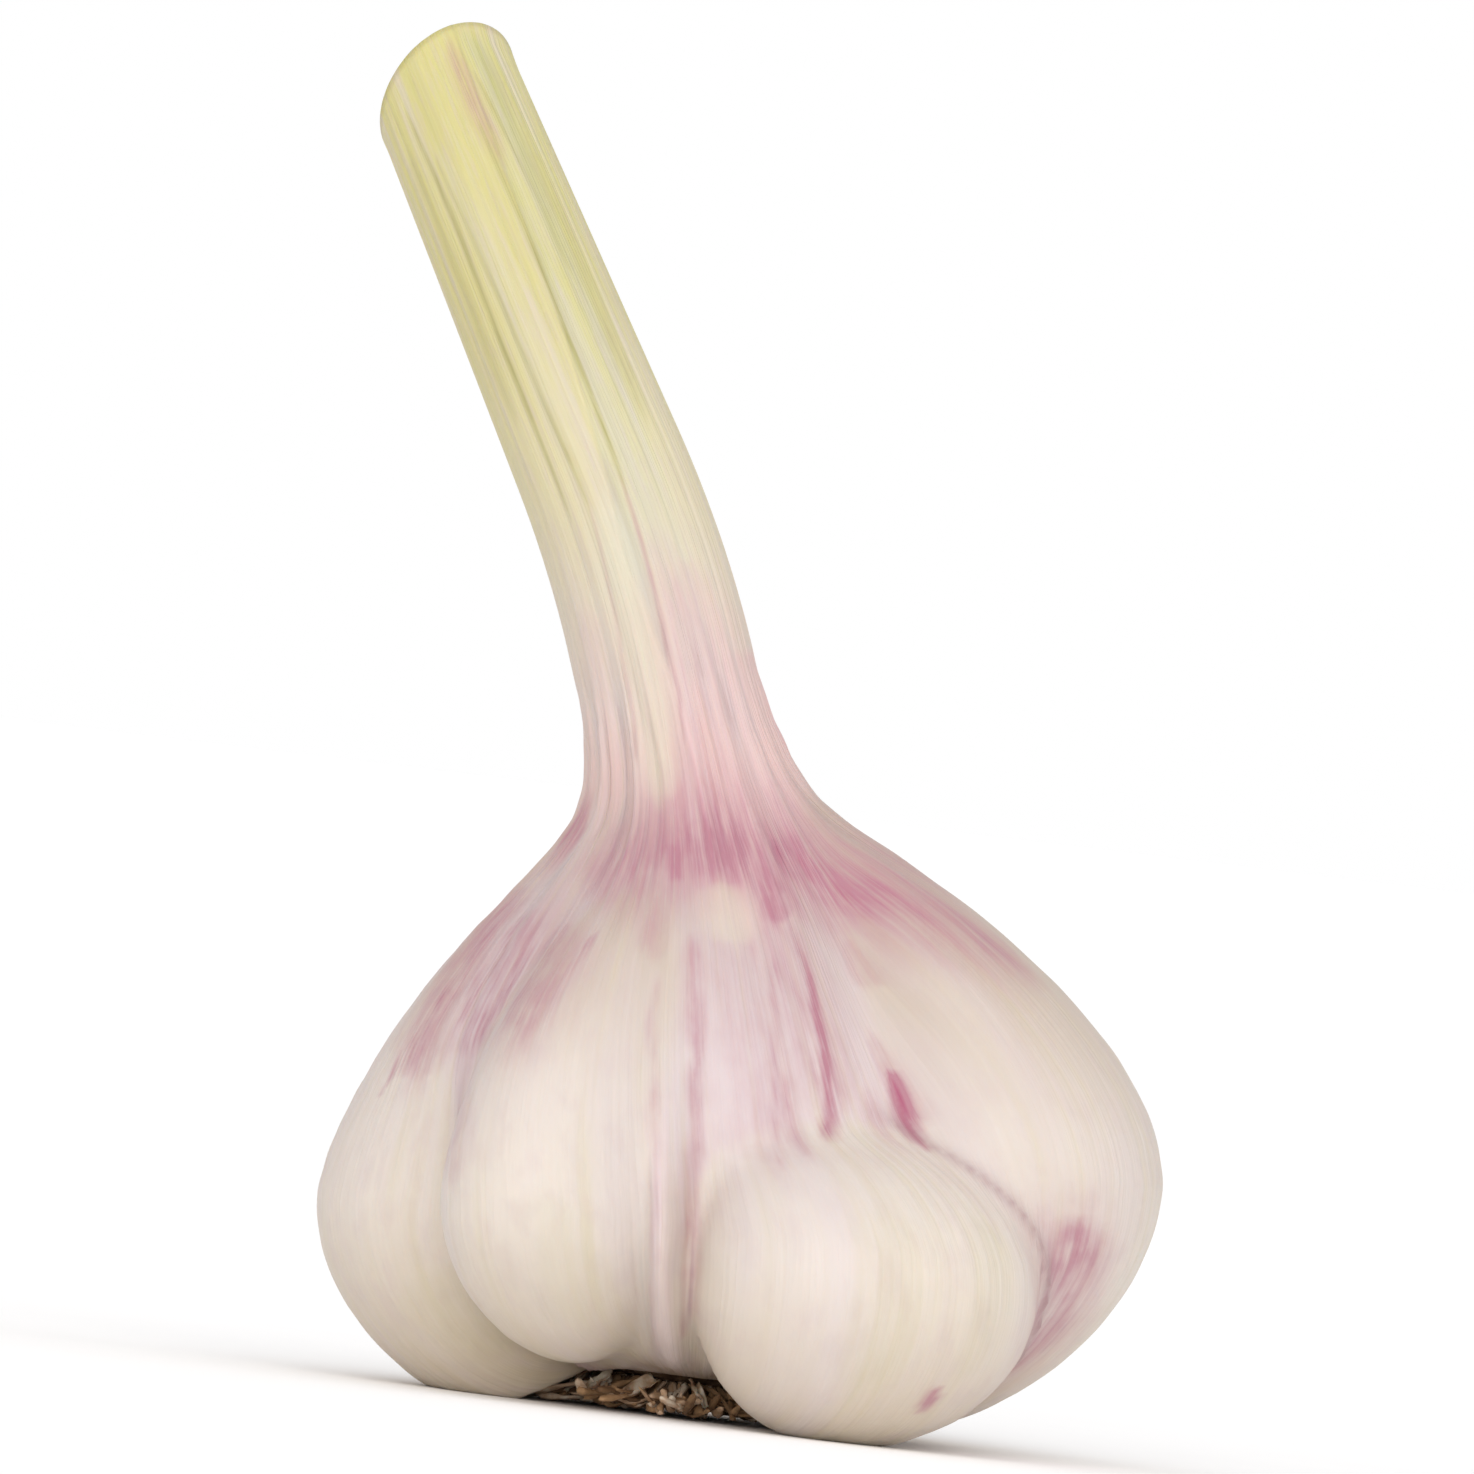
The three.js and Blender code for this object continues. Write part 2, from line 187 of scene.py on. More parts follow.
def clove_level(clove, height):
    """Where heights lie in a clove: 0 at its belly, 1 at its ends, with the lean and the power there."""
    upper = height > clove["belly"]
    end = np.where(upper, clove["top"], clove["foot"])
    share = (height - clove["belly"]) / (end - clove["belly"])
    lean = np.where(upper, clove["tip_lean"], clove["foot_lean"]) * np.minimum(share, LEAN_LIMIT) ** 2
    return share, lean, np.where(upper, clove["taper"], 2)


def clove_distance(clove, p):
    """Signed distance to a clove's bulge in the skin."""
    out = outwards(clove)
    share, lean, power = clove_level(clove, p[:, 2])
    dx = p[:, 0] - clove["x"]
    dy = p[:, 1] - clove["y"]
    deep = (dx * out[0] + dy * out[1] + lean) / clove["deep"]
    wide = (dy * out[0] - dx * out[1]) / clove["wide"]
    gauge = (np.hypot(deep, wide) ** power + share**power) ** (1 / power)
    return (gauge - 1) * clove["deep"]


def dimple_distance(p):
    """Signed distance to the dimple under the bulb, where the skin rises to the root plate."""
    axis = axis_at(RIM_HEIGHT)
    radius = np.hypot(p[:, 0] - axis[0], p[:, 1] - axis[1])
    drop = RIM_HEIGHT - (radius - RIM_RADIUS) * DIMPLE_SLOPE - p[:, 2]
    return drop * math.cos(math.atan(DIMPLE_SLOPE))


def bulb_distance(p):
    """Signed distance to the wrapped bulb: creases are tight low down and soft above."""
    softness = TIGHT_CREASE + CREASE_EASING * smooth(p[:, 2], *EASING_HEIGHTS)
    parts = [neck_distance(p), waist_distance(p)]
    parts += [clove_distance(clove, p) for clove in CLOVES.values()]
    wrapped = -softness * np.log(sum(np.exp(-part / softness) for part in parts))
    return np.maximum(wrapped, dimple_distance(p))


RAY_LENGTH = 42.0  # out of the bulb, whichever way
RAY_STEPS = 60
RAY_STRIDE = 0.6  # of the distance that is left, so that no step passes the surface


def surface_along(origin, direction, level):
    """Points where rays from inside the bulb leave it, found from outside inwards."""
    far = np.full(len(origin), RAY_LENGTH)
    for _ in range(RAY_STEPS):
        far -= RAY_STRIDE * (bulb_distance(origin + column(far) * direction) - level)
        far = np.clip(far, 0.5, RAY_LENGTH)
    return origin + column(far) * direction


# ---- the skin's surface, by rows that run from the root plate up to the cut ----
BELLY_AT = (BELLY_HEIGHT - FOOT[2]) / math.cos(LEAN_LOW)  # the belly, as a distance along the centreline


def ring_point(distance, angle, radius):
    """Points round the neck's centreline, with angle 0 to the right and a quarter turn at the back."""
    point, tangent = centreline(distance)
    right = unit(np.cross(BACKWARDS, tangent))
    return point + column(np.cos(angle) * radius) * right + column(np.sin(angle) * radius) * BACKWARDS


def cut_rise(angle, radius):
    """How far up the oblique cut lies at a place round the neck."""
    return (CUT_FALL_LEFT * np.cos(angle) - CUT_RISE_FRONT * np.sin(angle)) * radius


def underside(angle, share, depth):
    """From the rim round the root plate out to the belly."""
    origin = axis_at(RIM_HEIGHT + (BELLY_HEIGHT - RIM_HEIGHT) * share)
    origin[:, 2] = BELLY_HEIGHT
    fall = math.atan2(BELLY_HEIGHT - RIM_HEIGHT, RIM_RADIUS) * (1 - share)
    level = np.cos(fall)
    direction = np.stack((np.cos(angle) * level, np.sin(angle) * level, -np.sin(fall)), 1)
    p = surface_along(origin, direction, -depth)
    p[:, 2] = np.maximum(p[:, 2], depth)
    return p


NECK_JOIN = 0.85  # the share of the shoulder from which it runs over into the plain neck


def shoulder(angle, share, depth):
    """From the belly up over the shoulders, by rays that turn square to the neck."""
    distance = BELLY_AT + (SHOULDER_END - BELLY_AT) * share
    point, tangent = centreline(distance)
    upright = unit(UP + column(share) * (tangent - UP))
    right = unit(np.cross(BACKWARDS, upright))
    square = column(np.cos(angle)) * right + column(np.sin(angle)) * BACKWARDS
    level = np.stack((np.cos(angle), np.sin(angle), 0 * angle), 1)
    direction = unit(level + column(share) * (square - level))
    as_bulb = surface_along(point, direction, -depth)
    as_neck = point + column(neck_radius(distance) - depth) * direction
    return as_bulb + column(smooth(share, NECK_JOIN, 1)) * (as_neck - as_bulb)


def neck(angle, share, depth):
    """Up the neck to the oblique cut."""
    top = CUT_AT + cut_rise(angle, neck_radius(CUT_AT) - depth)
    distance = SHOULDER_END + (top - SHOULDER_END) * share
    return ring_point(distance, angle, neck_radius(distance) - depth)


ZONES = (underside, shoulder, neck)
UNDERSIDE, SHOULDER, NECK = range(len(ZONES))


def distance_at(zone, share):
    """How far along the centreline a place lies. Below the belly the count runs on, down to the rim."""
    starts = np.array((-BELLY_AT, BELLY_AT, SHOULDER_END))
    ends = np.array((BELLY_AT, SHOULDER_END, CUT_AT))
    return starts[zone] + (ends[zone] - starts[zone]) * share


# ---- mesh helpers ----
def lathed(rows, turns, closed=False):
    """A drum spun from one upright line of vertices. Each vertex's height is the number of its row."""
    bm = bmesh.new()
    line = [bm.verts.new((1, 0, row)) for row in range(rows)]
    pairs = list(zip(line, line[1:]))
    if closed:
        pairs.append((line[-1], line[0]))
    edges = [bm.edges.new(pair) for pair in pairs]
    bmesh.ops.spin(bm, geom=line + edges, cent=(0, 0, 0), axis=(0, 0, 1), angle=2 * math.pi,
                   steps=turns, use_merge=True)
    return bm


def drum_places(bm):
    """The angle and the row of every vertex of a drum."""
    co = np.array([v.co for v in bm.verts])
    return np.arctan2(co[:, 1], co[:, 0]), np.rint(co[:, 2]).astype(int)


def put(bm, points):
    """Moves each vertex to its point."""
    for vert, point in zip(bm.verts, points):
        vert.co = point


MERGE_WITHIN = 0.0005


def face_outwards(bm):
    """Merges the doubles at the poles and the seam, and turns every face outwards."""
    bmesh.ops.remove_doubles(bm, verts=bm.verts[:], dist=MERGE_WITHIN)
    bmesh.ops.recalc_face_normals(bm, faces=bm.faces[:])
    bm.normal_update()


def normals_of(bm):
    return np.array([v.normal for v in bm.verts])


def points_of(bm):
    return np.array([v.co for v in bm.verts])


def store(bm, name, values):
    """Keeps a value for each vertex, which the materials read by its name."""
    layers = bm.verts.layers.float_vector if np.ndim(values) == 2 else bm.verts.layers.float
    layer = layers.new(name)
    for vert, value in zip(bm.verts, values):
        vert[layer] = value


def finish_piece(name, bm, material, slot, *nodes):
    """Moves a bmesh in millimetres over the root plate, in metres, and makes it a piece of the object."""
    bmesh.ops.translate(bm, verts=bm.verts[:], vec=SHIFT)
    bmesh.ops.scale(bm, verts=bm.verts[:], vec=(MM, MM, MM))
    for face in bm.faces:
        face.smooth = True
    mesh = bpy.data.meshes.new(name)
    bm.to_mesh(mesh)
    bm.free()
    mesh.materials.append(material)
    piece = bpy.data.objects.new(name, mesh)
    bpy.context.scene.collection.objects.link(piece)
    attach(piece, "root")
    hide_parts(*nodes)
    return piece


def noise_at(points):
    return np.array([noise.noise(Vector(point)) for point in points])


def streaks(angle, along, cells_round, cells_per_mm, seed):
    """Noise drawn out along the fibres, from -1 to 1, with about so many cells round the bulb."""
    radius = cells_round / (2 * math.pi)
    return noise_at(np.stack((np.cos(angle) * radius, np.sin(angle) * radius,
                              along * cells_per_mm + seed), 1))


def fibre_places(angle, along, radius):
    """Places in millimetres for patterns that run with the fibres, as if rolled on a tube of that radius."""
    return np.stack((np.cos(angle) * radius, np.sin(angle) * radius, along), 1)


# ---- materials ----
def colour(code):
    """A linear colour from an sRGB hex value."""
    channels = [int(code[i : i + 2], 16) / 255 for i in (1, 3, 5)]
    return [c / 12.92 if c <= 0.04045 else ((c + 0.055) / 1.055) ** 2.4 for c in channels] + [1]


def add(tree, kind, inputs=None, stops=(), **settings):
    """Adds a shader node with its settings, its inputs and its ramp's stops. An input is a value, a socket,
    or a node, which stands for its first live output."""
    node = tree.nodes.new("ShaderNode" + kind)
    for key, value in settings.items():
        setattr(node, key, value)
    for key, value in (inputs or {}).items():
        if isinstance(value, bpy.types.Node):
            value = next(socket for socket in value.outputs if socket.enabled)
        if isinstance(value, bpy.types.NodeSocket):
            tree.links.new(value, node.inputs[key])
        else:
            node.inputs[key].default_value = value
    for i, (place, shade) in enumerate(stops):
        elements = node.color_ramp.elements
        stop = elements[i] if i < 2 else elements.new(place)
        stop.position = place
        stop.color = colour(shade) if isinstance(shade, str) else (shade, shade, shade, 1)
    return node


def new_material(name, looks):
    """A material with one principled shader, whose constant looks are set on its own sockets."""
    material = bpy.data.materials.new(name)
    material.use_nodes = True
    shader = material.node_tree.nodes["Principled BSDF"]
    for socket, value in looks.items():
        shader.inputs[socket].default_value = value
    return material


def dress(material, body, height, depth):
    """Gives a material's shader its colours, and fine relief of a depth in millimetres."""
    tree = material.node_tree
    bump = add(tree, "Bump", {"Strength": 1, "Distance": depth * MM, "Height": height})
    shader = tree.nodes["Principled BSDF"]
    shade = body.outputs[2] if body.type == "MIX" else body.outputs[0]
    tree.links.new(shade, shader.inputs["Base Color"])
    tree.links.new(bump.outputs[0], shader.inputs["Normal"])
    return material


def along_fibres(tree, spacing, length, detail=2):
    """Noise that runs with the fibres, by their spacing and length in millimetres."""
    place = add(tree, "Attribute", attribute_name="fibre").outputs["Vector"]
    scale = (1 / spacing, 1 / spacing, 1 / length)
    stretched = add(tree, "VectorMath", {0: place, 1: scale}, operation="MULTIPLY")
    return add(tree, "TexNoise", {"Vector": stretched, "Scale": 1, "Detail": detail})


def grains(tree, size, detail=2):
    """Noise without a direction, by the size of its grain in millimetres."""
    place = add(tree, "TexCoord").outputs["Object"]
    return add(tree, "TexNoise", {"Vector": place, "Scale": 1 / (size * MM), "Detail": detail})


# Both tone tables darken over the shoulders, from about 28 to 40 mm along: partly the skin's own duskier
# colour, partly painted shade where the shoulders turn up, away from the light in front.
FREE_TONES = (  # of skin that hangs free: how far along the bulb, and the colour there
    (-11, "#b8a592"), (4, "#cbbab3"), (14, "#cfbfbd"), (24, "#cbbcbb"), (31, "#bfaeab"), (38, "#b79e9a"),
    (43, "#cbb2ac"), (48, "#cfbcb4"), (56, "#cec2ac"), (64, "#ccc29c"), (76, "#c5bc84"), (94, "#c5bd7d"))
PRESSED_TONES = (  # the same, of skin that a clove presses on
    (-11, "#c5b59d"), (2, "#ccbfaf"), (10, "#d3c8bd"), (20, "#cdc1b8"), (28, "#bfb0a3"), (36, "#b3a297"))
TINTS = {  # how each tint on the skin looks where it is full, and how far the veins break it up; the pale one is partly a painted highlight
    "rose": ("#d0a4a8", 0.3),
    "purple": ("#ab7784", 0.55),
    "green": ("#a8a069", 0.5),
    # pale streaks, and a painted highlight on the fold beside the sheath's edge at the foot of the neck
    "pale": ("#cdc6b0", 0.3),
}
MAGENTA = "#9c2f5c"  # what purple turns to past full strength
# Painted shade: right in a crease between two cloves the skin is darkened towards this colour, by this much.
CREASE_PAINTED_SHADE = "#9c7d80"
CREASE_PAINTED_SHADE_STRENGTH = 0.7
TONE_WANDER = 8  # how far up or down the tones drift, in millimetres


def papery_skin():
    """Dry leaf skin: thin, faintly satin and a little translucent, with fibres that run from root to neck.
    It is cream where a clove presses on it, pinker where it hangs free, with purple stains along the
    fibres of its shoulders, and darker there, partly in its own colour and partly as painted shade.
    Painted shade darkens the creases between the cloves, and a pale streak at the foot of the neck is a
    painted highlight. Up the neck it is still fresh, and turns from cream to yellow green."""
    material = new_material("papery_leaf_skin", {
        "Roughness": 0.5, "IOR": 1.4, "Subsurface Weight": 0.2, "Subsurface Radius": (1, 0.6, 0.4),
        "Subsurface Scale": 0.8 * MM})
    tree = material.node_tree
    fine = along_fibres(tree, 0.45, 9, detail=3)
    veins = along_fibres(tree, 0.9, 20, detail=3)
    broad = along_fibres(tree, 5, 22)
    mottle = along_fibres(tree, 1.6, 2.6, detail=4)

    place = add(tree, "Attribute", attribute_name="fibre")
    along = add(tree, "SeparateXYZ", {0: place.outputs["Vector"]}).outputs["Z"]
    along = add(tree, "Math", {0: broad, 1: TONE_WANDER, 2: along}, operation="MULTIPLY_ADD")
    drift = TONE_WANDER / 2
    share = add(tree, "MapRange", {0: along, 1: drift - BELLY_AT, 2: drift + CUT_AT})
    tones = [
        add(tree, "ValToRGB", {0: share},
            stops=[((at + BELLY_AT) / (CUT_AT + BELLY_AT), shade) for at, shade in stops])
        for stops in (FREE_TONES, PRESSED_TONES)
    ]
    pressed = add(tree, "Attribute", attribute_name="pressed").outputs["Fac"]
    pressed = add(tree, "Math", {0: broad, 1: 0.7, 2: pressed}, operation="MULTIPLY_ADD")
    pressed = add(tree, "ValToRGB", {0: pressed}, stops=((0.45, 0), (1, 1)))
    body = add(tree, "Mix", {0: pressed, 6: tones[0], 7: tones[1]}, data_type="RGBA")

    threads = (  # straw veins, pale fibres, a greyish mottle and broad pink bands
        (veins, ((0.5, 0), (0.75, 0.35)), "#c2b592"),
        (fine, ((0.5, 0), (0.8, 0.12)), "#e4ddd2"),
        (mottle, ((0.48, 0), (0.7, 0.3)), "#c3b0ad"),
        (broad, ((0.45, 0), (0.7, 0.4)), "#cfc2c4"),
    )
    for pattern, stops, shade in threads:
        thread = add(tree, "ValToRGB", {0: pattern}, stops=stops)
        body = add(tree, "Mix", {0: thread, 6: body, 7: colour(shade)}, data_type="RGBA")

    ragged = add(tree, "Mix", {0: 0.5, 6: fine, 7: mottle}, data_type="RGBA")
    for name, (shade, feather) in TINTS.items():
        broken = add(tree, "MapRange", {0: ragged, 1: 0.35, 2: 0.65, 3: 1 - feather, 4: 1 + feather})
        amount = add(tree, "Attribute", attribute_name=name).outputs["Fac"]
        amount = add(tree, "Math", {0: amount, 1: broken}, operation="MULTIPLY", use_clamp=True)
        body = add(tree, "Mix", {0: amount, 6: body, 7: colour(shade)}, data_type="RGBA")
    deep = add(tree, "Attribute", attribute_name="purple").outputs["Fac"]
    deep = add(tree, "MapRange", {0: deep, 1: 1, 2: 1.5})
    body = add(tree, "Mix", {0: deep, 6: body, 7: colour(MAGENTA)}, data_type="RGBA")
    # painted shade in the creases between the cloves
    crease_and_painted_shade = add(tree, "Attribute", attribute_name="crease_and_painted_shade").outputs["Fac"]
    crease_and_painted_shade = add(tree, "Math", {0: crease_and_painted_shade, 1: CREASE_PAINTED_SHADE_STRENGTH}, operation="MULTIPLY")
    body = add(tree, "Mix", {0: crease_and_painted_shade, 6: body, 7: colour(CREASE_PAINTED_SHADE)}, data_type="RGBA")

    height = add(tree, "Math", {0: fine, 1: 0.6, 2: veins}, operation="MULTIPLY_ADD")
    return dress(material, body, height, depth=0.08)


def clove_skin():
    """A clove's own skin: smooth, close and satin, ivory with faint pink veins, over firm flesh."""
    material = new_material("clove_skin", {
        "Roughness": 0.35, "IOR": 1.4, "Subsurface Weight": 0.3, "Subsurface Radius": (1, 0.7, 0.4),
        "Subsurface Scale": 2 * MM})
    tree = material.node_tree
    veins = along_fibres(tree, 1.3, 18)
    body = add(tree, "ValToRGB", {0: veins}, stops=((0.35, "#efe3c9"), (0.6, "#e9dac2"), (0.75, "#dfc0b6")))
    return dress(material, body, veins, depth=0.05)


def cut_stalk():
    """Freshly cut leaf sheaths: moist, pale green, in rings that darken at each sheath's edge."""
    material = new_material("cut_stalk_flesh", {
        "Roughness": 0.4, "IOR": 1.38, "Subsurface Weight": 0.3, "Subsurface Radius": (0.6, 1, 0.4),
        "Subsurface Scale": 1.5 * MM})
    tree = material.node_tree
    ring = add(tree, "Attribute", attribute_name="ring").outputs["Fac"]
    mottle = along_fibres(tree, 0.6, 2.5)
    rings = add(tree, "ValToRGB", {0: ring}, stops=((0, "#e9e6bf"), (0.7, "#dfdca8"), (1, "#b9ba76")))
    spots = add(tree, "ValToRGB", {0: mottle}, stops=((0.5, 0), (0.8, 0.6)))
    body = add(tree, "Mix", {0: spots, 6: rings, 7: colour("#cfcb92")}, data_type="RGBA")
    return dress(material, body, mottle, depth=0.08)


def corky_plate():
    """Dried root plate: corky, matt and cracked, brown with paler patches."""
    material = new_material("corky_root_plate", {"Roughness": 0.85})
    grain = grains(material.node_tree, 1.1, detail=6)
    body = add(material.node_tree, "ValToRGB", {0: grain},
               stops=((0.3, "#4a3322"), (0.5, "#7d6044"), (0.7, "#b89a78")))
    return dress(material, body, grain, depth=0.4)


def dried_root():
    """Dried roots: shrivelled and matt, from dark brown to tan where the bark has rubbed off."""
    material = new_material("dried_root", {"Roughness": 0.8})
    tree = material.node_tree
    grain = grains(tree, 0.7, detail=4)
    tone = add(tree, "Attribute", attribute_name="tone").outputs["Fac"]
    tone = add(tree, "Math", {0: grain, 1: 0.9, 2: tone}, operation="MULTIPLY_ADD")
    tone = add(tree, "MapRange", {0: tone, 1: 0.2, 2: 1.5})
    stops = ((0, "#60422b"), (0.35, "#8d6c49"), (0.6, "#b18b65"), (0.85, "#c8a98c"), (1, "#dfd0bb"))
    body = add(tree, "ValToRGB", {0: tone}, stops=stops)
    return dress(material, body, grain, depth=0.15)


def dry_flake():
    """Torn ends of dry skin: paper thin and dirty, browner where they have frayed."""
    material = new_material("dry_skin_flake", {
        "Roughness": 0.6, "Subsurface Weight": 0.2, "Subsurface Scale": 1 * MM})
    grain = grains(material.node_tree, 1.4, detail=4)
    body = add(material.node_tree, "ValToRGB", {0: grain},
               stops=((0.35, "#6f5238"), (0.5, "#9c8166"), (0.68, "#d3c4b2")))
    return dress(material, body, grain, depth=0.15)


def pale_floor():
    """White card: plain, matt, with the faintest tooth."""
    material = new_material("white_card", {"Roughness": 0.9})
    tooth = grains(material.node_tree, 17)
    body = add(material.node_tree, "ValToRGB", {0: tooth}, stops=((0.3, "#fefdfd"), (0.7, "#fffefe")))
    return dress(material, body, tooth, depth=0.02)


# ---- the skin ----
SKIN_TURNS = 288
OUTER_ROWS = ((UNDERSIDE, 46), (SHOULDER, 96), (NECK, 70))  # rows of the outer face, root to cut
INNER_ROWS = ((NECK, 16), (SHOULDER, 24), (UNDERSIDE, 12))  # and of the inner face, back down
LIP = (0.2, 0.8)  # rows over the cut edge, as shares of the wall
BELLY_RADIUS = 28


def skin_rows():
    """The zone, the share and the depth of every row of the skin's closed profile."""
    rows = []
    for zone, count in OUTER_ROWS:
        rows += [(zone, i / count, 0) for i in range(zone > UNDERSIDE, count + 1)]
    rows += [(NECK, 1, SKIN_WALL * part) for part in LIP]
    for zone, count in INNER_ROWS:
        rows += [(zone, 1 - i / count, SKIN_WALL) for i in range(zone < NECK, count + 1)]
    return np.array(rows, float)


SHEATH_EDGE = ((46, -80), (58, -93), (73, -74), (86, -67), (94, -62))  # how far up the neck, and the angle


def sheath_edge(along):
    """The angle at which the outer leaf sheath of the neck ends, up along the neck."""
    return np.radians(np.interp(along, *zip(*SHEATH_EDGE)))


# Relief, in millimetres.
RIDGE_HEIGHT = 0.2
FINE_RIDGE_HEIGHT = 0.1
SHEATH_STEP = 0.3
PLEATS = 23
PLEAT_HEIGHT = 0.2
PLEAT_REACH = 7.5
GRAIN_HEIGHT = 0.07
VEIN_HEIGHT = (0.03, 0.1)  # where a clove presses on the skin, and how much more where it hangs free
PUCKER_HEIGHT = (0.05, 0.3)
DENT_HEIGHT = (0.08, 0.15)


def neck_relief(angle, along):
    """Ridges of the leaf veins up the neck, and the step where the outer sheath's edge lies on the next."""
    ridges = RIDGE_HEIGHT * streaks(angle, along, 24, 0.012, 21)
    ridges = ridges + FINE_RIDGE_HEIGHT * streaks(angle, along, 70, 0.012, 33)
    turn = (angle - sheath_edge(along)) % (2 * math.pi)
    step = SHEATH_STEP * smooth(turn, 0, 0.06) * (1 - smooth(turn, 0.3, 2.2))
    return (ridges + step) * smooth(along, NECK_BASE - 4, NECK_BASE + 8)


def freer(height, free):
    """A relief's height, which grows as the skin hangs free."""
    pressed, more = height
    return pressed + more * free


def shoulder_relief(angle, along, free):
    """Raised veins over the bulb, puckers where the skin hangs free, and pleats gathered under the neck."""
    veins = np.clip(1 - 2.4 * np.abs(streaks(angle, along, 66, 0.02, 5)), 0, 1) ** 3
    puckers = streaks(angle, along, 26, 0.035, 9)
    dents = streaks(angle, along, 14, 0.11, 14)
    gathered = np.exp(-(((along - NECK_BASE + 2) / PLEAT_REACH) ** 2))
    pleats = np.sin(PLEATS * angle + 5 * streaks(angle, along, 12, 0.02, 3))
    relief = veins * freer(VEIN_HEIGHT, free) + puckers * freer(PUCKER_HEIGHT, free)
    relief = relief + dents * freer(DENT_HEIGHT, free) + GRAIN_HEIGHT * streaks(angle, along, 90, 0.6, 18)
    return (relief + PLEAT_HEIGHT * pleats * gathered) * (1 - smooth(along, NECK_BASE, NECK_BASE + 10))


def tint_mark(width, strength, *route):
    """A mark of one tint, of a width in millimetres, on a route of (degrees round the bulb, millimetres
    along it). Most are stains; one of the pale tint is a painted highlight.
    """
    return dict(width=width, strength=strength, route=route)


